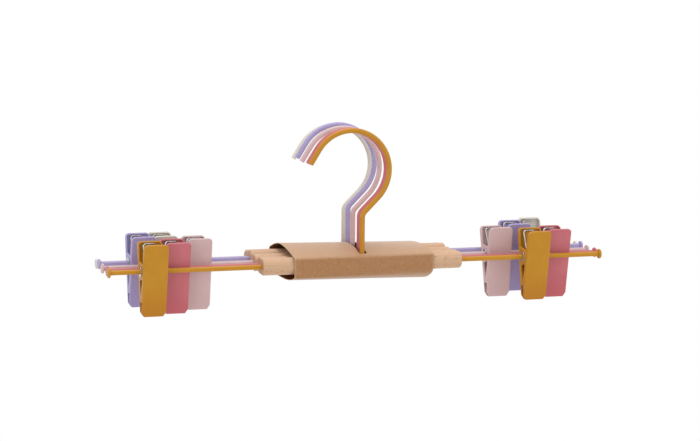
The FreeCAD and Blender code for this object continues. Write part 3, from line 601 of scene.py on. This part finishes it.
def make_pads():
    """Milky grip pads inside the jaws' tips: a ribbed outline carried along X, just proud of the solid.

    Outline from the back, along the jaw's plate at |y| = half + z tan(tilt) - sheet / cos(tilt), round to the
    front, where each rib climbs from the valley to its flat top and down again at set shares of its height.
    """
    ribs = (np.arange(RIBS)[:, None] + np.array(RIB_SHARES)).ravel() / RIBS
    share = np.concatenate(((1.0, 0.0, 0.0), ribs, (1.0,)))
    up = PAD_FOOT + (PAD_TOP - PAD_FOOT) * share
    plate = JAW_HALF + up * math.tan(JAW_TILT) - JAW_SHEET / math.cos(JAW_TILT) - PAD_GLUE + PAD_SKIN
    valley = MEET + RIB_DEPTH - PAD_SKIN
    ridge = MEET - PAD_SKIN
    front = np.concatenate(((valley,), np.tile((valley, ridge, ridge, valley), RIBS), (valley,)))
    across = np.concatenate((plate[:2], front))
    up = up + PAD_SKIN * np.sign(share - 0.5) * ((share == 0) | (share == 1))
    ends = np.array((-1.0, 1.0))[:, None] * (PAD_WIDTH / 2 + PAD_SKIN)
    count = len(share)
    walls = quads(2, count, True).reshape(-1, 4).tolist()
    faces = walls + [list(range(count))[::-1], list(range(count, 2 * count))]
    for clip in CLIPS:
        for jaw, side in (("front", -1), ("rear", 1)):
            points = np.stack(np.broadcast_arrays(ends, side * across, up), axis=-1)
            turned = [face[::-side] for face in faces]
            made = piece(f"{clip}_{jaw}_pad", leaned(points, clip), turned, PLASTIC, f"{clip}_{jaw}_jaw")
            edge = made.modifiers.new("edge", "BEVEL")
            edge.width = PAD_EDGE
            edge.segments = 2


def dress_solids():
    """Beech dowels, each from its own place in the tree, painted wire and sheet, and plated eyelets."""
    for number, colour in enumerate(COLOURS):
        place = PIVOTS[f"{colour}_left_open"]
        heart = (0.0, place[1] - (31 + 5 * number) * MM, place[2] - (18 + 9 * number) * MM)
        dress(f"{colour}_dowel", beech_finish(f"beech_{colour}", heart, 0.9 * number))
        for part in ("rods", "hook"):
            dress(f"{colour}_{part}", PAINTS[colour])
        for side in SIDES:
            for part in ("front_jaw", "rear_jaw"):
                dress(f"{colour}_{side}_{part}", PAINTS[colour])
            dress(f"{colour}_{side}_eyelet", STEEL)


def make_floor():
    """Pale round floor far below the hangers: rings of a growing radius, see-through towards the rim."""
    angle = np.linspace(0, 2 * math.pi, FLOOR_SPOKES, endpoint=False)
    radius = np.linspace(0.002, FLOOR_RADIUS, FLOOR_RINGS)[:, None]
    x = radius * np.cos(angle)
    y = radius * np.sin(angle)
    points = np.stack((x, y, np.full_like(x, FLOOR_LEVEL)), axis=-1)
    mesh = bpy.data.meshes.new("floor")
    faces = quads(FLOOR_RINGS, FLOOR_SPOKES, True).reshape(-1, 4).tolist() + [list(range(FLOOR_SPOKES))]
    mesh.from_pydata(points.reshape(-1, 3).tolist(), [], faces)
    finish = Finish("floor_paint", {"Base Color": srgb(244, 244, 242), "Roughness": 0.9})
    x, y = finish.axes(finish.place)[:2]
    finish.feed("Alpha", 1 - finish.step((x ** 2 + y ** 2) ** 0.5, 0.5, 1.15))
    mesh.materials.append(finish.material)
    floor = bpy.data.objects.new("floor", mesh)
    bpy.context.scene.collection.objects.link(floor)


def soft_lamp(name, place, size, energy):
    """Round soft lamp that looks at the hangers."""
    lamp = bpy.data.lights.new(name, "AREA")
    lamp.shape = "DISK"
    lamp.size = size
    lamp.energy = energy
    made = bpy.data.objects.new(name, lamp)
    made.location = place
    made.rotation_euler = (LAMP_TARGET - made.location).to_track_quat("-Z", "Y").to_euler()
    bpy.context.scene.collection.objects.link(made)


def make_light():
    """Even sky, white where the camera or a reflection meets it, with soft lamps above and to both sides."""
    scene = bpy.context.scene
    scene.world = bpy.data.worlds.new("studio")
    scene.world.use_nodes = True
    web = Web(scene.world.node_tree)
    web.tree.nodes.clear()
    ray = "ShaderNodeLightPath"
    seen = web.node(ray, output="Is Camera Ray") + web.node(ray, output="Is Glossy Ray")
    seen = seen + web.node(ray, output="Is Transmission Ray")
    sky = web.node("ShaderNodeBackground", {}, {"Color": (1, 1, 1, 1), "Strength": SKY_LEVEL})
    white = web.node("ShaderNodeBackground", {}, {"Color": (1, 1, 1, 1), "Strength": 1.0})
    mixed = web.node("ShaderNodeMixShader", {}, {0: seen, 1: sky, 2: white})
    web.node("ShaderNodeOutputWorld", {}, {"Surface": mixed})
    soft_lamp("overhead", (0.0, 0.1, 1.3), 1.4, 11.5)
    soft_lamp("left", (-1.15, -1.0, 0.0), 0.9, 2.9)
    soft_lamp("right", (1.05, -1.15, 0.1), 0.9, 2.9)


def make_camera():
    """Camera at the photograph's place: sight by yaw and pitch, then rolled about the line of sight."""
    scene = bpy.context.scene
    level = math.cos(CAMERA_PITCH)
    sight = Vector((math.sin(CAMERA_YAW) * level, math.cos(CAMERA_YAW) * level, -math.sin(CAMERA_PITCH)))
    flat = sight.cross(Vector((0, 0, 1))).normalized()
    rise = flat.cross(sight)
    right = flat * math.cos(CAMERA_ROLL) + rise * math.sin(CAMERA_ROLL)
    up = rise * math.cos(CAMERA_ROLL) - flat * math.sin(CAMERA_ROLL)
    lens = bpy.data.cameras.new("camera")
    lens.sensor_fit = "HORIZONTAL"
    lens.lens = lens.sensor_width * FOCAL_PIXELS / IMAGE_WIDTH
    camera = bpy.data.objects.new("camera", lens)
    camera.matrix_world = Matrix.Translation(CAMERA_PLACE) @ Matrix((right, up, -sight)).transposed().to_4x4()
    scene.collection.objects.link(camera)
    scene.camera = camera
    scene.view_settings.view_transform = "Standard"


make_sleeve()
make_springs()
make_pads()
dress_solids()
make_floor()
make_light()
make_camera()
